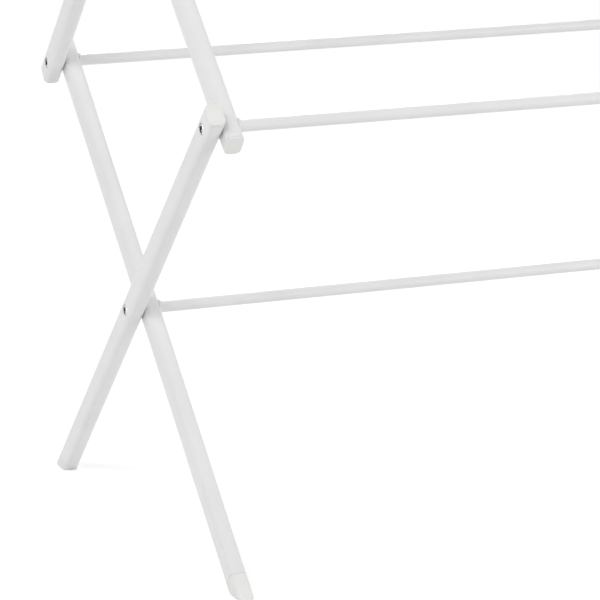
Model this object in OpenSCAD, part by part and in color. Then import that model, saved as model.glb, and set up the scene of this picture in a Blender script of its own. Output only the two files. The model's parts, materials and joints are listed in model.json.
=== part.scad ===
// Folding clothes drying rack: three tiers of crossed flat-sided tubes on each side, joined by round rods.
// The rods run along X, the front is -Y and Z is up. The origin is on the floor under the middle of the rack.
// Each side frame has an inner layer and an outer layer of tubes. Every rod sits on a pivot axis.

/* [Frame] */
// Thickness of the frame tubes, along the rods
tube_t = 12; // [11:0.5:14]
// Width of the frame tubes, across the rods
tube_w = 17; // [15:0.5:18]
// Corner radius of the frame tubes
tube_corner = 4; // [2.5:0.25:4.5]
// Wall of the frame tubes
tube_wall = 0.8; // [0.7:0.1:1]
// Width over the two outer layers of tubes
rack_w = 750; // [500:5:900]
// Distance along a tube from its middle pivot to each end pivot
half_len = 240; // [200:1:300]
// Distance along a lower tube from its middle pivot to the floor
leg_len = 248.5; // [210:0.5:310]
// Lean of every tube from upright when the rack stands open
open_angle = 49; // [40:1:52]
// Air between the inner and the outer layer of tubes
layer_gap = 0.4; // [0.3:0.1:0.8]
// Length of a tube past its end pivot, with the cap
end_overhang = 17; // [16:0.5:26]

/* [Rods] */
// Outside diameter of the cross rods
rod_d = 8.3; // [7.5:0.1:9]
// Wall of the cross rods
rod_wall = 0.8; // [0.7:0.1:1.2]

/* [Pivots] */
// Shank diameter of the pivot screws
screw_d = 4; // [3:0.5:4.5]
// Head diameter of the pivot screws
head_d = 8; // [7:0.5:9]
// Head height of the pivot screws
head_h = 3.1; // [2.4:0.1:3.2]
// Depth of the pressed cup that holds a screw head
cup_depth = 2.4; // [2.2:0.1:3.2]
// Diameter of the washers between the layers
washer_d = 11; // [10:0.5:11]
// Thickness of the washers between the layers
washer_t = 1.2; // [1:0.1:1.6]
// Diameter of the collars on the rod ends
collar_d = 11; // [10.5:0.5:11]
// Width of collar that shows between tube and rod
collar_w = 2.2; // [2:0.2:4]
// Depth of the socket in a collar that takes the rod
collar_socket = 1.4; // [1:0.2:1.8]
// Length of the threaded insert in each rod end
insert_len = 18; // [12:1:30]
// Length of screw held in the insert
screw_grip = 12; // [6:1:16]

/* [End caps] */
// Height of the part of an end cap that shows
cap_h = 1.8; // [1.8:0.2:5]
// Slant of the edge of a cap's closed end
cap_edge = 0.8; // [0.6:0.2:1.2]

/* [Feet] */
// Length of a foot cap along the middle of its leg
foot_len = 14; // [13:1:30]
// Length of the foot's plug inside the leg
foot_plug = 18; // [10:1:30]
// Rounding of the edges of a sole
foot_round = 1.6; // [0.6:0.2:2]

/* [Lock arms] */
// Thickness of the lock arms
lock_t = 3; // [2:0.5:4]
// Width of the lock arms
lock_w = 12; // [10:0.5:12]
// Wall of the hook round its slot
hook_wall = 4.5; // [3:0.5:6]

/* [Fits] */
// Radial clearance of a pivot screw in what turns on it
running_gap = 0.08; // [0.04:0.01:0.1]
// Radial clearance of plugs, inserts and sockets
snug_gap = 0.1; // [0.05:0.01:0.15]
// Air between flat faces that turn on each other
face_gap = 0.1; // [0.05:0.05:0.2]
// Air round a washer or collar in its pressed seat
rim_gap = 0.3; // [0.3:0.05:0.5]
// Air between a lock arm and the tube beside it
plate_gap = 0.4; // [0.3:0.1:1]
// Air round the rod in a hook's slot
slot_gap = 0.5; // [0.4:0.1:1]
// Width and depth of the seam line between a tube and its cap
seam = 0.4; // [0.2:0.1:0.6]

/* [Hidden] */
$fn = 96;
bite = 1; // how far a cutting shape runs past the face that it cuts

half_t = tube_t / 2;
half_w = tube_w / 2;
clear = 2 * tube_w; // how far a large cutting shape reaches from a tube
rod_r = rod_d / 2;
screw_r = screw_d / 2;
washer_r = washer_d / 2;
collar_r = collar_d / 2;

// heights and depths of the pivots
reach = half_len * sin(open_angle); // from the middle plane to the front and back pivots
rise = half_len * cos(open_angle); // from one level of pivots to the next
first_z = leg_len * cos(open_angle); // height of the lowest crossing
foot_y = leg_len * sin(open_angle); // from the middle plane to the middle of a sole

// distances from the middle of the rack, along the rods
outer_x = rack_w / 2 - half_t;
inner_x = outer_x - tube_t - layer_gap;

// distances from a tube's own axis
seat_x = half_t - (washer_t + face_gap - layer_gap) / 2; // face of a pressed washer seat
cup_x = half_t - cup_depth; // floor of a pressed screw cup
seat_r = max(washer_r, collar_r) + rim_gap;
cup_r = head_d / 2 + rim_gap;
press_r = seat_r + tube_wall; // edge of the metal pressed in round a seat

lock_stack = plate_gap + lock_t + face_gap; // room for a lock arm between tube and collar
slot_r = rod_r + slot_gap;
hook_r = slot_r + hook_wall;
eye_r = washer_r + 1.5; // end of a lock arm round its pivot

// shares of a screw head
straight_share = 0.35; // of its height, under the dome
cross_width = 0.16; // of its diameter
cross_length = 0.58; // of its diameter

white = [0.90, 0.90, 0.89];
cap_white = [0.90, 0.90, 0.87];
steel = [0.62, 0.62, 0.64];

// A pivot axis: level 0 is the lowest crossing; odd levels are the end pivots, depth -1 front, 1 back.
function pivot(level, depth = 0) = [0, depth * reach, first_z + level * rise];

LOWER = [pivot(0), pivot(1, 1)]; // rods carried by the lower inner tubes
MIDDLE = [pivot(1, -1), pivot(2), pivot(3, 1)]; // by the middle inner tubes
UPPER = [pivot(3, -1), pivot(4)]; // by the upper inner tubes, with a plain seat
TOP_BACK = pivot(5, 1); // by the upper inner tubes, beside the lock arms
TOP_FRONT = pivot(5, -1); // by the upper outer tubes, held by the lock arms

// Where the pieces of a rod end lie. A rod ends on the inner layer, beside a lock arm or on the outer layer.
function layer_x(kind) = kind == "outer" ? outer_x : inner_x;
function lock_room(kind) = kind == "lock" ? lock_stack : 0;
function collar_face(kind) = kind == "lock" ? inner_x - half_t - lock_stack : layer_x(kind) - seat_x;
function collar_back(kind) = layer_x(kind) - half_t - lock_room(kind) - collar_w;
function rod_end(kind) = collar_back(kind) + collar_socket;
function cup_floor(kind) = (kind == "lock" ? inner_x : outer_x) + cup_x;

// Builds on the right side, +X, and mirrors to the left.
module on_side(side) {
    mirror([side < 0 ? 1 : 0, 0, 0])
        children();
}

// A cylinder along X from x0 to x1.
module bar_x(x0, x1, r) {
    translate([x0, 0, 0])
        rotate([0, 90, 0])
            cylinder(h = x1 - x0, r = r);
}

// A ring along X from x0 to x1.
module ring_x(x0, x1, r, hole) {
    difference() {
        bar_x(x0, x1, r);
        bar_x(x0 - bite, x1 + bite, hole);
    }
}

// Lays a tube of one layer through its middle pivot: inner tubes lean back, outer tubes lean forward.
module lean(layer, level) {
    translate([layer == "inner" ? inner_x : outer_x, 0, pivot(level).z])
        rotate([layer == "inner" ? -open_angle : open_angle, 0, 0])
            children();
}

// ---- tubes ----

// The section of a tube, its sides moved in by inset.
module section(inset = 0) {
    x = half_t - inset;
    y = half_w - inset;
    r = tube_corner - inset;
    square([2 * (x - r), 2 * y], center = true);
    square([2 * x, 2 * (y - r)], center = true);
    for (i = [-1, 1], j = [-1, 1])
        translate([i * (x - r), j * (y - r)]) circle(r = r);
}

// A bar of a tube's section, from z0 to z1.
module bar_z(z0, z1, inset = 0) {
    translate([0, 0, z0])
        linear_extrude(height = z1 - z0)
            section(inset);
}

// Metal pressed in behind a recess whose face is x from the tube's axis.
module pressed_metal(x, r) {
    bar_x(x - tube_wall, half_t + bite, r + tube_wall);
}

module press_recess(x, r) {
    bar_x(x, half_t + bite, r);
}

// A tube along Z from z0 to z1. cups and seats are the heights of the pressed recesses on its
// outboard face, back_seats those on its inboard face.
module frame_tube(z0, z1, cups, seats, back_seats) {
    difference() {
        bar_z(z0, z1);
        difference() {
            bar_z(z0 - bite, z1 + bite, tube_wall);
            for (z = cups) translate([0, 0, z]) pressed_metal(cup_x, cup_r);
            for (z = seats) translate([0, 0, z]) pressed_metal(seat_x, seat_r);
            for (z = back_seats) translate([0, 0, z]) mirror([1, 0, 0]) pressed_metal(seat_x, seat_r);
        }
        for (z = cups) translate([0, 0, z]) press_recess(cup_x, cup_r);
        for (z = seats) translate([0, 0, z]) press_recess(seat_x, seat_r);
        for (z = back_seats) translate([0, 0, z]) mirror([1, 0, 0]) press_recess(seat_x, seat_r);
        for (z = back_seats) translate([0, 0, z]) bar_x(-tube_t, tube_t, screw_r + running_gap);
    }
}

tube_top = half_len + end_overhang - cap_h; // from the middle pivot to the upper seam
tube_foot = -(leg_len - foot_len); // from the middle pivot to the foot's seam
ENDS = [-half_len, 0, half_len];
UPPER_ENDS = [0, half_len];

module lower_tube(layer, side) {
    color(white)
        on_side(side) lean(layer, 0)
            frame_tube(tube_foot, tube_top,
                layer == "outer" ? UPPER_ENDS : [],
                layer == "inner" ? UPPER_ENDS : [],
                UPPER_ENDS);
}

module middle_tube(layer, side) {
    color(white)
        on_side(side) lean(layer, 2)
            frame_tube(-tube_top, tube_top,
                layer == "outer" ? ENDS : [],
                layer == "inner" ? ENDS : [],
                ENDS);
}

module upper_tube(layer, side) {
    color(white)
        on_side(side) lean(layer, 4)
            frame_tube(-tube_top, tube_top,
                layer == "outer" ? ENDS : [half_len],
                layer == "inner" ? [-half_len, 0] : [],
                ENDS);
}

// ---- caps and feet ----

plug_inset = tube_wall + snug_gap;
plug_len = end_overhang - cap_h - press_r - bite; // stops short of the pressed metal at the end pivot

// Side view of a cap's body that is half wide, with the slanted edges of its closed end.
module cap_side(half) {
    edge_z = cap_h - cap_edge;
    polygon([
        [-half - bite, -bite],
        [half + bite, -bite],
        [half + bite, edge_z - bite],
        [half - cap_edge - bite, cap_h + bite],
        [-half + cap_edge + bite, cap_h + bite],
        [-half - bite, edge_z - bite]
    ]);
}

module end_cap() {
    translate([0, 0, tube_top]) {
        bar_z(-plug_len, seam, plug_inset);
        bar_z(0, 2 * seam, seam);
        intersection() {
            bar_z(seam, cap_h);
            rotate([90, 0, 0]) linear_extrude(height = clear, center = true) cap_side(half_t);
            rotate([90, 0, 90]) linear_extrude(height = clear, center = true) cap_side(half_w);
        }
    }
}

// The caps of both tubes of a layer at the given ends: 1 top, -1 bottom.
module end_caps(layer, level, ends) {
    color(cap_white)
        for (side = [-1, 1], end = ends)
            on_side(side) lean(layer, level)
                mirror([0, 0, end < 0 ? 1 : 0]) end_cap();
}

// Cuts the corner at p to a radius. The faces leave the corner at angles a and b.
module corner_cut(p, a, b, r) {
    half = (b - a) / 2;
    centre = p + r / sin(half) * [cos(a + half), sin(a + half)];
    rotate([90, 0, 90])
        linear_extrude(height = clear, center = true)
            translate(centre)
                difference() {
                    scale(2)
                        polygon([
                            [0, 0],
                            r * [cos(a - 90), sin(a - 90)],
                            p - centre,
                            r * [cos(b + 90), sin(b + 90)]
                        ]);
                    circle(r = r);
                }
}

// Everything under the floor near a foot.
module below_floor() {
    translate([-clear, -clear, -2 * clear]) cube(2 * clear);
}

// A foot cap: a plug in the leg and a body flush with it, cut level with the floor.
module foot(layer, side) {
    half_sole = half_w / cos(open_angle);
    lean_slope = 90 - open_angle;
    color(cap_white)
        on_side(side)
            mirror([0, layer == "outer" ? 1 : 0, 0])
                translate([layer == "inner" ? inner_x : outer_x, -foot_y, 0])
                    difference() {
                        rotate([-open_angle, 0, 0]) {
                            bar_z(foot_len - seam, foot_len + foot_plug, plug_inset);
                            bar_z(foot_len - 2 * seam, foot_len, seam);
                            bar_z(-clear, foot_len - seam);
                        }
                        below_floor();
                        corner_cut([-half_sole, 0], 0, lean_slope, foot_round);
                        corner_cut([half_sole, 0], lean_slope, 180, foot_round);
                    }
}

// ---- rods and what joins them ----

module cross_rod(p, kind = "inner") {
    color(white)
        translate(p)
            ring_x(-rod_end(kind), rod_end(kind), rod_r, rod_r - rod_wall);
}

// Repeats a right-hand rod-end piece at both ends of each rod.
module rod_ends(points) {
    for (p = points, side = [-1, 1])
        translate(p) on_side(side) children();
}

// A collar: seated on the tube, with a socket for the rod end.
module collar(kind = "inner") {
    color(cap_white)
        difference() {
            bar_x(collar_back(kind), collar_face(kind), collar_r);
            bar_x(collar_back(kind) - bite, rod_end(kind), rod_r + snug_gap);
            bar_x(collar_back(kind), collar_face(kind) + bite, screw_r + running_gap);
        }
}

// A threaded insert pressed into the rod end.
module insert(kind = "inner") {
    color(steel)
        ring_x(rod_end(kind) - insert_len, rod_end(kind), rod_r - rod_wall - snug_gap, screw_r + snug_gap);
}

module washer() {
    color(cap_white)
        ring_x(inner_x + seat_x, inner_x + seat_x + washer_t, washer_r, screw_r + running_gap);
}

// A domed screw head with a cross recess, its underside at 0.
module screw_head() {
    edge_h = head_h * straight_share;
    dome_h = head_h - edge_h;
    dome_r = (pow(head_d / 2, 2) + pow(dome_h, 2)) / (2 * dome_h);
    recess_w = head_d * cross_width;
    recess_l = head_d * cross_length;
    difference() {
        intersection() {
            cylinder(h = head_h, r = head_d / 2);
            translate([0, 0, head_h - dome_r]) sphere(r = dome_r, $fn = 200);
        }
        for (turn = [0, 90])
            rotate([0, 0, turn + 45])
                translate([-recess_l / 2, -recess_w / 2, head_h / 2])
                    cube([recess_l, recess_w, head_h]);
    }
}

module screw(kind = "inner") {
    head_x = cup_floor(kind) + face_gap;
    color(steel) {
        translate([head_x, 0, 0]) rotate([0, 90, 0]) screw_head();
        bar_x(rod_end(kind) - screw_grip, head_x + head_h / 4, screw_r);
    }
}

// ---- lock arms ----

// A flat arm from the top back pivot to a hook under the top front rod. Its slot follows the path
// on which the rod leaves as the rack folds, so that a pull on the arm only seats the rod deeper.
module lock_arm(side) {
    plate_x = inner_x - half_t - plate_gap;
    color(white)
        translate(TOP_BACK)
            on_side(side)
                difference() {
                    union() {
                        translate([plate_x - lock_t, 0, 0])
                            rotate([90, 0, 90])
                                linear_extrude(height = lock_t)
                                    lock_outline();
                        bar_x(plate_x - lock_t, inner_x - seat_x - face_gap, washer_r);
                    }
                    bar_x(plate_x - lock_t - bite, inner_x, screw_r + running_gap);
                }
}

module lock_outline() {
    span = 2 * reach;
    difference() {
        union() {
            circle(r = eye_r);
            translate([-span, -lock_w / 2]) square([span, lock_w]);
            translate([-span, 0]) circle(r = hook_r);
        }
        translate([-span, 0]) hook_slot();
    }
}

// The rod's round seat and a throat that widens towards its mouth.
module hook_slot() {
    throat_r = slot_r - slot_gap / 4;
    mouth_r = slot_r + slot_gap;
    mouth_x = 3 * hook_r; // well outside the hook
    circle(r = slot_r);
    rotate(open_angle)
        polygon([[0, -throat_r], [mouth_x, -mouth_r], [mouth_x, mouth_r], [0, throat_r]]);
}

// ---- the pieces ----

lower_tube("inner", -1);  // lower_inner_tube_left
lower_tube("inner", 1);  // lower_inner_tube_right
lower_tube("outer", -1);  // lower_outer_tube_left
lower_tube("outer", 1);  // lower_outer_tube_right
middle_tube("inner", -1);  // middle_inner_tube_left
middle_tube("inner", 1);  // middle_inner_tube_right
middle_tube("outer", -1);  // middle_outer_tube_left
middle_tube("outer", 1);  // middle_outer_tube_right
upper_tube("inner", -1);  // upper_inner_tube_left
upper_tube("inner", 1);  // upper_inner_tube_right
upper_tube("outer", -1);  // upper_outer_tube_left
upper_tube("outer", 1);  // upper_outer_tube_right

cross_rod(pivot(0));  // lower_cross_rod
cross_rod(pivot(1, 1));  // first_back_rod
cross_rod(pivot(1, -1));  // first_front_rod
cross_rod(pivot(2));  // middle_cross_rod
cross_rod(pivot(3, 1));  // second_back_rod
cross_rod(pivot(3, -1));  // second_front_rod
cross_rod(pivot(4));  // upper_cross_rod
cross_rod(TOP_BACK, "lock");  // top_back_rod
cross_rod(TOP_FRONT, "outer");  // top_front_rod

foot("inner", -1);  // front_foot_left
foot("inner", 1);  // front_foot_right
foot("outer", -1);  // back_foot_left
foot("outer", 1);  // back_foot_right

end_caps("inner", 0, [1]);  // lower_inner_end_caps
end_caps("outer", 0, [1]);  // lower_outer_end_caps
end_caps("inner", 2, [-1, 1]);  // middle_inner_end_caps
end_caps("outer", 2, [-1, 1]);  // middle_outer_end_caps
end_caps("inner", 4, [-1, 1]);  // upper_inner_end_caps
end_caps("outer", 4, [-1, 1]);  // upper_outer_end_caps

rod_ends(LOWER) screw();  // lower_pivot_screws
rod_ends(MIDDLE) screw();  // middle_pivot_screws
rod_ends(UPPER) screw();  // upper_pivot_screws
rod_ends([TOP_BACK]) screw("lock");  // top_back_screws
rod_ends([TOP_FRONT]) screw("outer");  // top_front_screws

rod_ends(LOWER) washer();  // lower_pivot_washers
rod_ends(MIDDLE) washer();  // middle_pivot_washers
rod_ends(UPPER) washer();  // upper_pivot_washers

rod_ends(LOWER) collar();  // lower_rod_collars
rod_ends(MIDDLE) collar();  // middle_rod_collars
union() {  // upper_rod_collars
    rod_ends(UPPER) collar();
    rod_ends([TOP_BACK]) collar("lock");
}
rod_ends([TOP_FRONT]) collar("outer");  // top_front_rod_collars

rod_ends(LOWER) insert();  // lower_rod_inserts
rod_ends(MIDDLE) insert();  // middle_rod_inserts
union() {  // upper_rod_inserts
    rod_ends(UPPER) insert();
    rod_ends([TOP_BACK]) insert("lock");
}
rod_ends([TOP_FRONT]) insert("outer");  // top_front_rod_inserts

lock_arm(-1);  // lock_arm_left
lock_arm(1);  // lock_arm_right
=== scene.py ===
import json
from math import cos, pi, radians, sin, sqrt

import bmesh
import bpy
from mathutils import Matrix, Vector


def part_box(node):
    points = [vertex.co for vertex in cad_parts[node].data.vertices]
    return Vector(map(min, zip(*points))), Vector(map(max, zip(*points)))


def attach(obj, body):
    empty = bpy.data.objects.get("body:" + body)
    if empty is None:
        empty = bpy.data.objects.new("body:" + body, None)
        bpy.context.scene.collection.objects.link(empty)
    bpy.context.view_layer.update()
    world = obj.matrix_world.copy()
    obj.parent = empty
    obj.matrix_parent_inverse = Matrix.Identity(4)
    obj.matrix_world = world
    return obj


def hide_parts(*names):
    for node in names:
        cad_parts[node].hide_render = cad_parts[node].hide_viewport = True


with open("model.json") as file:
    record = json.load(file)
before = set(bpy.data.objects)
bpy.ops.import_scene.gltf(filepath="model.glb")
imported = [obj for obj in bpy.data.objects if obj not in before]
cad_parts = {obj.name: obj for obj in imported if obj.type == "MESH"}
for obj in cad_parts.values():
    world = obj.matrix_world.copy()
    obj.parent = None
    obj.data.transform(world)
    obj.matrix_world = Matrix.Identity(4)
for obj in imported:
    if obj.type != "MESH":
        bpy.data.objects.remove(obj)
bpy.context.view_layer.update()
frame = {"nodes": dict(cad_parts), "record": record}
nodes = frame["nodes"]
print("frame loaded:", len(nodes), "pieces")

mm = 0.001
sideName = {-1: "left", 1: "right"}
tiers = ("lower", "middle", "upper")
layers = ("inner", "outer")
bodies = frame["record"]["behaviour"]["bodies"]
bodyOf = {node: body for body, members in bodies.items() for node in members}
slotOf = {part["node"]: part["material_slot"] for part in frame["record"]["subparts"]}


def middleOf(node):
    low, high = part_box(node)
    return (low + high) / 2


def spanOf(node, axis):
    low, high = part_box(node)
    return high[axis] - low[axis]


# the pivot axes, read from the rods that lie on them
crossings = [middleOf(tier + "_cross_rod") for tier in tiers]
backPivots = [middleOf(rod + "_back_rod") for rod in ("first", "second", "top")]
frontPivots = [middleOf(rod + "_front_rod") for rod in ("first", "second", "top")]
halfLength = (backPivots[0] - crossings[0]).length
upAlong = {
    "inner": (backPivots[0] - crossings[0]).normalized(),
    "outer": (frontPivots[0] - crossings[0]).normalized(),
}
tubeX = {layer: middleOf(f"middle_{layer}_tube_right").x for layer in layers}
halfThick = spanOf("middle_outer_tube_right", 0) / 2
rodRadius = spanOf("lower_cross_rod", 2) / 2

tube = {
    "wide": 17 * mm,
    "corner": 4 * mm,
    "cornerSteps": 8,
    "wall": 0.8 * mm,
    "overhang": 17 * mm,  # past an end pivot, with the cap
    "seat": 0.45 * mm,  # depth of a pressed seat
}

noiseSpread = (0.3, 0.7)  # nearly all values of a noise lie between these


def startMaterial(name):
    material = bpy.data.materials.new(name)
    material.use_nodes = True
    tree = material.node_tree
    return material, tree, tree.nodes["Principled BSDF"]


def addNode(tree, kind, settings=None, **values):
    # values go to the inputs, with _ for a space in an input's name
    node = tree.nodes.new(kind)
    for key, value in (settings or {}).items():
        setattr(node, key, value)
    for key, value in values.items():
        node.inputs[key.replace("_", " ")].default_value = value
    return node


def noiseOf(tree, size, detail, squeeze=(1, 1, 1)):
    # a noise whose blobs are about as wide as size, in metres
    place = addNode(tree, "ShaderNodeTexCoord")
    mapping = addNode(tree, "ShaderNodeMapping", Scale=squeeze)
    noise = addNode(tree, "ShaderNodeTexNoise", Scale=1 / size, Detail=detail)
    tree.links.new(place.outputs["Object"], mapping.inputs["Vector"])
    tree.links.new(mapping.outputs["Vector"], noise.inputs["Vector"])
    return noise.outputs["Fac"]


def mapTo(tree, noise, low, high, target):
    node = addNode(
        tree, "ShaderNodeMapRange",
        From_Min=noiseSpread[0], From_Max=noiseSpread[1], To_Min=low, To_Max=high,
    )
    tree.links.new(noise, node.inputs["Value"])
    tree.links.new(node.outputs["Result"], target)


def blendShades(tree, noise, finish, tint, target):
    ramp = addNode(tree, "ShaderNodeValToRGB")
    ramp.color_ramp.interpolation = "EASE"
    for stop, position, shade in zip(ramp.color_ramp.elements, noiseSpread, ("dark", "light")):
        stop.position = position
        stop.color = (*(part * tint for part in finish[shade]), 1)
    tree.links.new(noise, ramp.inputs["Fac"])
    tree.links.new(ramp.outputs["Color"], target)


def bumpFrom(tree, noise, depth, shader, under=None):
    # under is the bump that this one lies on
    bump = addNode(tree, "ShaderNodeBump", Strength=1.0, Distance=depth)
    tree.links.new(noise, bump.inputs["Height"])
    if under:
        tree.links.new(under.outputs["Normal"], bump.inputs["Normal"])
    tree.links.new(bump.outputs["Normal"], shader.inputs["Normal"])
    return bump


# the clouds are slow changes of shade and gloss
powderCoat = {
    "light": (0.815, 0.815, 0.815),
    "dark": (0.785, 0.785, 0.785),
    "cloudSize": 45 * mm,
    "peelSize": 2.4 * mm,  # the soft waves of a sprayed coat
    "peelDepth": 0.035 * mm,
    "grainSize": 0.35 * mm,
    "grainDepth": 0.004 * mm,
    "roughness": (0.28, 0.34),
}


def makePowderCoat(name, tint=1.0):
    material, tree, shader = startMaterial(name)
    clouds = noiseOf(tree, powderCoat["cloudSize"], detail=2)
    blendShades(tree, clouds, powderCoat, tint, shader.inputs["Base Color"])
    mapTo(tree, clouds, *powderCoat["roughness"], shader.inputs["Roughness"])
    peel = noiseOf(tree, powderCoat["peelSize"], detail=1)
    grain = noiseOf(tree, powderCoat["grainSize"], detail=2)
    under = bumpFrom(tree, peel, powderCoat["peelDepth"], shader)
    bumpFrom(tree, grain, powderCoat["grainDepth"], shader, under)
    return material


moulded = {
    "light": (0.83, 0.83, 0.812),
    "dark": (0.80, 0.80, 0.778),
    "cloudSize": 12 * mm,
    "sparkSize": 0.5 * mm,  # the fine pits of a spark-eroded mould
    "sparkDepth": 0.012 * mm,
    "roughness": (0.42, 0.52),
}


def makeMoulded(name, tint=1.0):
    material, tree, shader = startMaterial(name)
    clouds = noiseOf(tree, moulded["cloudSize"], detail=2)
    blendShades(tree, clouds, moulded, tint, shader.inputs["Base Color"])
    mapTo(tree, clouds, *moulded["roughness"], shader.inputs["Roughness"])
    sparks = noiseOf(tree, moulded["sparkSize"], detail=3)
    bumpFrom(tree, sparks, moulded["sparkDepth"], shader)
    return material


zinc = {
    "light": (0.88, 0.88, 0.90),
    "dark": (0.60, 0.60, 0.64),
    "blotchSize": 1.6 * mm,
    "scratchSize": 0.25 * mm,
    "scratchSqueeze": (1, 6, 1),
    "scratchDepth": 0.003 * mm,
    "roughness": (0.22, 0.38),
}


def makeZinc(name, tint=1.0):
    material, tree, shader = startMaterial(name)
    shader.inputs["Metallic"].default_value = 1.0
    blotches = noiseOf(tree, zinc["blotchSize"], detail=4)
    blendShades(tree, blotches, zinc, tint, shader.inputs["Base Color"])
    mapTo(tree, blotches, *zinc["roughness"], shader.inputs["Roughness"])
    scratches = noiseOf(tree, zinc["scratchSize"], detail=2, squeeze=zinc["scratchSqueeze"])
    bumpFrom(tree, scratches, zinc["scratchDepth"], shader)
    return material


# the finish of each material slot
finishOf = {
    "tube_paint": makePowderCoat("tube_powder_coat"),
    "rod_paint": makePowderCoat("rod_powder_coat", tint=0.985),
    "arm_paint": makePowderCoat("arm_powder_coat"),
    "cap_plastic": makeMoulded("end_cap_plastic"),
    "foot_plastic": makeMoulded("foot_plastic"),
    "collar_plastic": makeMoulded("collar_plastic"),
    "washer_plastic": makeMoulded("washer_plastic", tint=0.97),
    "screw_steel": makeZinc("screw_zinc"),
    "insert_steel": makeZinc("insert_zinc"),
}
recessPaintedShade = makeZinc("screw_recess_painted_shade", tint=0.05)  # painted shade: nearly black, standing in for the shade and dark reflection deep in the screw's cross
print("materials made")

for node in nodes:
    mesh = nodes[node].data
    mesh.materials.clear()
    mesh.materials.append(finishOf[slotOf[node]])
print("frame coated")

closeBy = 0.01 * mm  # heights closer than this are the same
mergeBelow = 0.002 * mm  # corners closer than this become one
sharpFrom = radians(38)  # edges sharper than this stay crisp


def sectionFace(bm, z):
    # the first face of a piece, in the shape of the tube's section
    verts = bmesh.ops.create_grid(bm, x_segments=1, y_segments=1, size=1)["verts"]
    for vert in verts:
        vert.co = (vert.co.x * halfThick, vert.co.y * tube["wide"] / 2, z)
    bmesh.ops.bevel(
        bm, geom=verts, offset=tube["corner"], segments=tube["cornerSteps"],
        profile=0.5, affect="VERTICES", material=-1,
    )
    bm.faces.ensure_lookup_table()
    return bm.faces[0]


def only(kind, geometry):
    return [item for item in geometry if isinstance(item, kind)]


def pushFace(bm, face, move):
    # extrudes one face and gives back the new end face
    grown = bmesh.ops.extrude_face_region(bm, geom=[face])["geom"]
    bmesh.ops.translate(bm, vec=move, verts=only(bmesh.types.BMVert, grown))
    return only(bmesh.types.BMFace, grown)[0]


def narrowFace(bm, face, inset):
    bmesh.ops.inset_region(bm, faces=[face], thickness=inset, use_even_offset=True)
    return face


def roundEdges(bm, edges, offset, segments, kind="OFFSET"):
    bmesh.ops.bevel(
        bm, geom=edges, offset=offset, offset_type=kind, segments=segments,
        profile=0.5, affect="EDGES", material=-1, clamp_overlap=True,
    )


def turnAbout(bm, profile, steps):
    # turns a closed profile of (along X, radius) pairs about the X axis
    verts = [bm.verts.new((x, 0, r)) for x, r in profile]
    edges = [bm.edges.new((verts[i - 1], verts[i])) for i in range(len(verts))]
    bmesh.ops.spin(
        bm, geom=verts + edges, cent=(0, 0, 0), axis=(1, 0, 0), dvec=(0, 0, 0),
        angle=2 * pi, steps=steps, use_merge=True, use_duplicate=False,
    )


def frameAt(place, side, along):
    # X outboard, Z along the given direction
    out = Vector((side, 0, 0))
    across = along.cross(out)
    matrix = Matrix((out, across, along)).transposed().to_4x4()
    matrix.translation = place
    return matrix


def onSide(point, side, x):
    return Vector((side * x, point.y, point.z))


def makePiece(name, stands, makeOne, places, second=None):
    # one mesh with a copy of the made shape at each place, in place of the node it stands for
    bm = bmesh.new()
    for matrix in places:
        one = bmesh.new()
        makeOne(one)
        bmesh.ops.transform(one, matrix=matrix, verts=one.verts)
        part = bpy.data.meshes.new("part")
        one.to_mesh(part)
        one.free()
        bm.from_mesh(part)
        bpy.data.meshes.remove(part)
    bmesh.ops.remove_doubles(bm, verts=bm.verts, dist=mergeBelow)
    bmesh.ops.recalc_face_normals(bm, faces=bm.faces)
    mesh = bpy.data.meshes.new(name)
    bm.to_mesh(mesh)
    bm.free()
    mesh.materials.append(finishOf[slotOf[stands]])
    if second:
        mesh.materials.append(second)
    mesh.shade_smooth()
    mesh.set_sharp_from_angle(angle=sharpFrom)
    piece = bpy.data.objects.new(name, mesh)
    bpy.context.scene.collection.objects.link(piece)
    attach(piece, bodyOf[stands])
    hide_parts(stands)


endCap = {
    "height": 1.8 * mm,
    "round": 1.1 * mm,
    "roundSteps": 5,
    "seam": 0.4 * mm,  # width and depth of the groove beside the tube
    "plugGap": 0.1 * mm,
    "plug": 5 * mm,
}
openEnds = {"lower": (1,), "middle": (-1, 1), "upper": (-1, 1)}  # 1 is a tube's upper end
tubeTop = halfLength + tube["overhang"] - endCap["height"]


def addPlug(bm, face, depth):
    # a seam groove and a plug for the tube's bore, both grown from the given face
    step = endCap["seam"] if depth > 0 else -endCap["seam"]
    neck = pushFace(bm, narrowFace(bm, face, endCap["seam"]), (0, 0, step))
    plug = narrowFace(bm, neck, tube["wall"] + endCap["plugGap"] - endCap["seam"])
    pushFace(bm, plug, (0, 0, depth))


def makeEndCap(bm):
    # from the closed end down
    top = sectionFace(bm, endCap["height"])
    bottom = pushFace(bm, top, (0, 0, endCap["seam"] - endCap["height"]))
    addPlug(bm, bottom, -endCap["plug"])
    level = endCap["height"] - closeBy
    rim = [edge for edge in bm.edges if all(vert.co.z > level for vert in edge.verts)]
    roundEdges(bm, rim, endCap["round"], endCap["roundSteps"])


for tier, crossing in zip(tiers, crossings):
    for layer in layers:
        places = []
        for side in sideName:
            for end in openEnds[tier]:
                place = onSide(crossing, side, tubeX[layer]) + end * tubeTop * upAlong[layer]
                places.append(frameAt(place, side, end * upAlong[layer]))
        makePiece(f"{tier}_{layer}_caps", f"{tier}_{layer}_end_caps", makeEndCap, places)
print("end caps made")

foot = {
    "length": 14 * mm,  # along the middle of the leg, from the floor to the seam
    "plug": 18 * mm,
    "below": 20 * mm,  # what is cut away under the floor
    "round": 2.2 * mm,  # across the rounded edge of the sole
    "roundSteps": 6,
}


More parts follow.
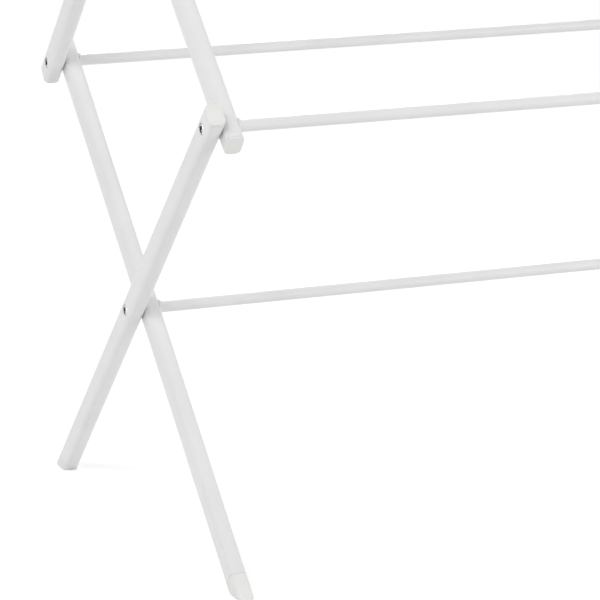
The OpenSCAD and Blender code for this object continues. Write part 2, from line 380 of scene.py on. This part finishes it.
def makeFoot(matrix):
    # cut level with the floor, which the matrix puts at height 0
    floorUp = matrix.to_3x3().transposed() @ Vector((0, 0, 1))

    def build(bm):
        bottom = sectionFace(bm, -foot["below"])
        top = pushFace(bm, bottom, (0, 0, foot["below"] + foot["length"] - endCap["seam"]))
        addPlug(bm, top, foot["plug"])
        everything = list(bm.verts) + list(bm.edges) + list(bm.faces)
        cut = bmesh.ops.bisect_plane(
            bm, geom=everything, plane_co=(0, 0, 0), plane_no=-floorUp, clear_outer=True,
        )
        rim = only(bmesh.types.BMEdge, cut["geom_cut"])
        bmesh.ops.holes_fill(bm, edges=rim, sides=0)
        bmesh.ops.recalc_face_normals(bm, faces=bm.faces)
        # of one width all round, so the sharp edge is cut back more than the blunt one
        roundEdges(bm, rim, foot["round"], foot["roundSteps"], "WIDTH")

    return build


legLength = crossings[0].z / upAlong["inner"].z
for layer, word in (("inner", "front"), ("outer", "back")):
    for side in sideName:
        place = onSide(crossings[0], side, tubeX[layer]) - legLength * upAlong[layer]
        matrix = frameAt(place, side, upAlong[layer])
        ending = sideName[side]
        makePiece(f"{word}_shoe_{ending}", f"{word}_foot_{ending}", makeFoot(matrix), [matrix])
print("feet made")

screw = {
    "head": 4.0 * mm,  # radius
    "height": 3.5 * mm,
    "seat": 3.1 * mm,  # from the outermost point of the solid screw to the underside
    "edge": 1.08 * mm,  # where the dome starts
    "straight": 0.9,  # share of the edge that stays upright
    "underEdge": 0.12 * mm,  # bevel round the underside
    "ring": 0.74,  # share of the head's radius that the ring round the cross has
    "domeRings": (0.85, 0.93, 0.98),  # shares of the head's radius
    "shank": 2.0 * mm,  # radius
    "tip": 0.4 * mm,  # bevel of the shank's end
    "crossLong": 2.75 * mm,  # from the middle to the end of an arm
    "crossWide": 1.4 * mm,  # half an arm's width
    "crossDeep": 2.5 * mm,
    "crossTaper": 0.5,  # size of the recess's floor against its mouth
    "steps": 48,
    "turn": 28,  # of the cross in the first screw, in degrees
    "turnStep": 31,
    # distance from the underside of the head to the tip
    "length": {"inner": 34.9 * mm, "lock": 26.0 * mm, "outer": 22.5 * mm},
}


def domeHeight(r):
    # the dome is cut from a ball
    rise = screw["height"] - screw["edge"]
    ball = (screw["head"] ** 2 + rise ** 2) / (2 * rise)
    return screw["height"] - ball + sqrt(ball * ball - r * r)


def crossLoop(bm):
    # the outline of the cross, flat, with as many edges as the ring round it
    wide, long = screw["crossWide"], screw["crossLong"]
    outline = []
    for quarter in range(4):
        for a, b in ((wide, long), (wide, wide), (long, wide)):
            outline.append(((a, b), (b, -a), (-a, -b), (-b, a))[quarter])
    verts = [bm.verts.new((0, a, b)) for a, b in outline]
    edges = [bm.edges.new((verts[i - 1], verts[i])) for i in range(len(verts))]
    bmesh.ops.subdivide_edges(bm, edges=edges, cuts=screw["steps"] // len(edges) - 1)
    return list(bm.edges)


def headTop(bm):
    # the dome from the cross to the first ring round it, with the edges of both given back
    cross = crossLoop(bm)
    turned = Matrix.Rotation(pi / 2, 4, "Y")
    radius = screw["head"] * screw["ring"]
    bmesh.ops.create_circle(bm, segments=screw["steps"], radius=radius, matrix=turned)
    known = set(cross)
    ring = [edge for edge in bm.edges if edge not in known]
    bmesh.ops.bridge_loops(bm, edges=cross + ring)
    for vert in bm.verts:
        vert.co.x = domeHeight(vert.co.yz.length)
    return cross, ring


def sinkCross(bm, cross):
    # the tapered recess, in the second material, which paints shade into it
    grown = bmesh.ops.extrude_edge_only(bm, edges=cross)["geom"]
    floor = only(bmesh.types.BMVert, grown)
    floorX = screw["height"] - screw["crossDeep"]
    taper = screw["crossTaper"]
    for vert in floor:
        vert.co = (floorX, vert.co.y * taper, vert.co.z * taper)
    bmesh.ops.contextual_create(bm, geom=only(bmesh.types.BMEdge, grown))
    for face in bm.faces:
        if any(vert in floor for vert in face.verts):
            face.material_index = 1


def growRing(bm, edges, r, x):
    # the next ring of the head or shank, out of the last one
    grown = bmesh.ops.extrude_edge_only(bm, edges=edges)["geom"]
    for vert in only(bmesh.types.BMVert, grown):
        flat = Vector((0, vert.co.y, vert.co.z)).normalized() * r
        vert.co = (x, flat.y, flat.z)
    return only(bmesh.types.BMEdge, grown)


def makeScrew(kind):
    head, shank, tip = screw["head"], screw["shank"], screw["tip"]
    under, length = screw["underEdge"], screw["length"][kind]
    # radius and place along X of each ring, from the dome to the tip
    rings = [(head * share, domeHeight(head * share)) for share in screw["domeRings"]]
    rings += [(head, screw["edge"] * screw["straight"]), (head, under), (head - under, 0)]
    rings += [(shank, 0), (shank, tip - length), (shank - tip, -length)]

    def build(bm):
        cross, ring = headTop(bm)
        sinkCross(bm, cross)
        for r, x in rings:
            ring = growRing(bm, ring, r, x)
        bmesh.ops.contextual_create(bm, geom=ring)
        bmesh.ops.recalc_face_normals(bm, faces=bm.faces)

    return build


def rodEnds(points, x, turn=0.0, turnStep=0.0):
    # a place at both ends of each rod, turned a little further each time
    places = []
    for point in points:
        for side in sideName:
            spin = Matrix.Rotation(radians(turn + len(places) * turnStep), 4, "X")
            places.append(frameAt(onSide(point, side, x), side, Vector((0, 0, 1))) @ spin)
    return places


screwSets = {
    # node: pivots, kind
    "lower_pivot_screws": ([crossings[0], backPivots[0]], "inner"),
    "middle_pivot_screws": ([frontPivots[0], crossings[1], backPivots[1]], "inner"),
    "upper_pivot_screws": ([frontPivots[1], crossings[2]], "inner"),
    "top_back_screws": ([backPivots[2]], "lock"),
    "top_front_screws": ([frontPivots[2]], "outer"),
}
for node, (points, kind) in screwSets.items():
    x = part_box(node)[1].x - screw["seat"]
    places = rodEnds(points, x, screw["turn"], screw["turnStep"])
    # the second material paints shade into each screw's cross recess
    makePiece(node.replace("screws", "bolts"), node, makeScrew(kind), places, recessPaintedShade)
print("screws made")

collar = {
    "radius": 5.5 * mm,
    "width": 2.2 * mm,  # what shows between the tube and the rod
    "round": 0.5 * mm,
    "roundSteps": 4,
    "socket": 1.4 * mm,
    "socketGap": 0.1 * mm,
    "socketBevel": 0.15 * mm,
    "groove": 0.4 * mm,  # beside the tube
    "grooveLip": ((0.08 * mm, 0.1 * mm), (0.2 * mm, 0)),  # along the collar, under its rim
    "hole": 2.08 * mm,  # radius, for the screw
    "lockRoom": 3.5 * mm,  # for a lock arm between the tube and the collar
    "steps": 64,
}


def makeCollar(bm):
    # 0 is the face on the seat, and the rod comes from -X
    back = -collar["width"] - tube["seat"]
    radius, hole, size = collar["radius"], collar["hole"], collar["round"]
    bore = rodRadius + collar["socketGap"]
    bevel, floor = collar["socketBevel"], back + collar["socket"]
    grooveEnd, grooveBottom = -tube["seat"] - collar["groove"], radius - collar["groove"]
    profile = [(0, hole), (0, grooveBottom), (grooveEnd, grooveBottom)]
    profile += [(grooveEnd - along, radius - down) for along, down in collar["grooveLip"]]
    for step in range(collar["roundSteps"] + 1):
        turn = pi / 2 * step / collar["roundSteps"]
        profile.append((back + size * (1 - sin(turn)), radius - size * (1 - cos(turn))))
    profile += [(back, bore + bevel), (back + bevel, bore), (floor, bore), (floor, hole)]
    turnAbout(bm, profile, collar["steps"])


innerFace = {layer: tubeX[layer] - halfThick for layer in layers}
collarX = {
    "inner": innerFace["inner"] + tube["seat"],
    "outer": innerFace["outer"] + tube["seat"],
    "lock": innerFace["inner"] - collar["lockRoom"],
}
collarSets = {
    # node: (pivots, kind), ...
    "lower_rod_collars": [([crossings[0], backPivots[0]], "inner")],
    "middle_rod_collars": [([frontPivots[0], crossings[1], backPivots[1]], "inner")],
    "upper_rod_collars": [([frontPivots[1], crossings[2]], "inner"), ([backPivots[2]], "lock")],
    "top_front_rod_collars": [([frontPivots[2]], "outer")],
}
for node, groups in collarSets.items():
    places = [matrix for points, kind in groups for matrix in rodEnds(points, collarX[kind])]
    makePiece(node.replace("collars", "bushes"), node, makeCollar, places)
print("collars made")

floorSpec = {
    "size": 30.0,  # metres
    "pale": 0.9,
    "lift": 0.3,  # only for the camera and for reflections
    "fadeFrom": 0.8,  # metres from the middle, where the floor starts to turn white
    "fadeTo": 2.0,
}


def grey(level):
    return (level, level, level, 1)


def seenRay(tree):
    # 1 for what the camera sees straight, in a reflection or through glass
    path = addNode(tree, "ShaderNodeLightPath")
    seen = path.outputs["Is Camera Ray"]
    for other in ("Is Glossy Ray", "Is Transmission Ray"):
        either = addNode(tree, "ShaderNodeMath", {"operation": "MAXIMUM"})
        tree.links.new(seen, either.inputs[0])
        tree.links.new(path.outputs[other], either.inputs[1])
        seen = either.outputs["Value"]
    return seen


def makePaleFloor(name):
    material, tree, shader = startMaterial(name)
    tree.nodes.remove(shader)
    seen = seenRay(tree)
    matt = addNode(tree, "ShaderNodeBsdfDiffuse", Color=grey(floorSpec["pale"]))
    lift = addNode(tree, "ShaderNodeEmission", Color=grey(floorSpec["lift"]))
    glow = addNode(tree, "ShaderNodeEmission", Color=grey(1))
    near = addNode(tree, "ShaderNodeAddShader")
    tree.links.new(seen, lift.inputs["Strength"])
    tree.links.new(seen, glow.inputs["Strength"])
    tree.links.new(matt.outputs["BSDF"], near.inputs[0])
    tree.links.new(lift.outputs["Emission"], near.inputs[1])

    # far from the rack the floor turns into the white of the background
    start, end = floorSpec["fadeFrom"], floorSpec["fadeTo"]
    place = addNode(tree, "ShaderNodeTexCoord")
    length = addNode(tree, "ShaderNodeVectorMath", {"operation": "LENGTH"})
    fade = addNode(tree, "ShaderNodeMapRange", From_Min=start, From_Max=end)
    both = addNode(tree, "ShaderNodeMath", {"operation": "MULTIPLY"})
    mix = addNode(tree, "ShaderNodeMixShader")
    tree.links.new(place.outputs["Object"], length.inputs[0])
    tree.links.new(length.outputs["Value"], fade.inputs["Value"])
    tree.links.new(fade.outputs["Result"], both.inputs[0])
    tree.links.new(seen, both.inputs[1])
    tree.links.new(both.outputs["Value"], mix.inputs["Fac"])
    tree.links.new(near.outputs["Shader"], mix.inputs[1])
    tree.links.new(glow.outputs["Emission"], mix.inputs[2])
    tree.links.new(mix.outputs["Shader"], tree.nodes["Material Output"].inputs["Surface"])
    return material


def makeFloor():
    bm = bmesh.new()
    bmesh.ops.create_grid(bm, x_segments=1, y_segments=1, size=floorSpec["size"] / 2)
    mesh = bpy.data.meshes.new("floor")
    bm.to_mesh(mesh)
    bm.free()
    mesh.materials.append(makePaleFloor("pale_floor"))
    floor = bpy.data.objects.new("floor", mesh)
    bpy.context.scene.collection.objects.link(floor)


makeFloor()
print("floor made")

studio = {
    "ambient": 0.45,
    "lamps": [
        # name, place and size in metres, power in watts
        ("high_left", (-2.0, -0.8, 2.0), 0.7, 8),
        ("high_front", (-1.8, -2.0, 2.4), 0.7, 18),
        ("right", (2.2, -2.4, 1.0), 1.4, 32),
        ("low_left", (-3.0, -0.9, 0.5), 1.8, 13.5),
        ("back", (0.5, 2.6, 1.2), 1.4, 19),
        ("top", (0.3, 0.8, 3.2), 2.4, 10.5),
    ],
    "aim": (0.0, 0.0, 0.35),
}


def makeWorld():
    world = bpy.data.worlds.new("studio")
    bpy.context.scene.world = world
    world.use_nodes = True
    tree = world.node_tree
    background = tree.nodes["Background"]
    background.inputs["Color"].default_value = grey(1)
    strength = addNode(tree, "ShaderNodeMapRange", To_Min=studio["ambient"], To_Max=1.0)
    tree.links.new(seenRay(tree), strength.inputs["Value"])
    tree.links.new(strength.outputs["Result"], background.inputs["Strength"])


def makeLamps():
    for name, place, size, power in studio["lamps"]:
        light = bpy.data.lights.new(name, "AREA")
        light.shape = "SQUARE"
        light.size = size
        light.energy = power
        lamp = bpy.data.objects.new(name, light)
        bpy.context.scene.collection.objects.link(lamp)
        lamp.location = place
        sight = Vector(studio["aim"]) - Vector(place)
        lamp.rotation_euler = sight.to_track_quat("-Z", "Y").to_euler()


makeWorld()
makeLamps()
print("light set")

lens = {
    "place": (-1.0190, -2.0826, 0.6374),
    "turn": -20.497,  # degrees
    "down": 12.171,
    "roll": 1.122,
    "focal": 185.90,  # millimetres, as the sensor
    "sensor": 36,
}


def makeCamera():
    camera = bpy.data.objects.new("camera", bpy.data.cameras.new("camera"))
    bpy.context.scene.collection.objects.link(camera)
    camera.data.sensor_width = lens["sensor"]
    camera.data.lens = lens["focal"]
    turn = Matrix.Rotation(radians(lens["turn"]), 4, "Z")
    tip = Matrix.Rotation(radians(90 - lens["down"]), 4, "X")
    roll = Matrix.Rotation(radians(-lens["roll"]), 4, "Z")
    camera.matrix_world = Matrix.Translation(lens["place"]) @ turn @ tip @ roll
    bpy.context.scene.camera = camera


makeCamera()
bpy.context.scene.view_settings.view_transform = "Standard"
print("camera set")
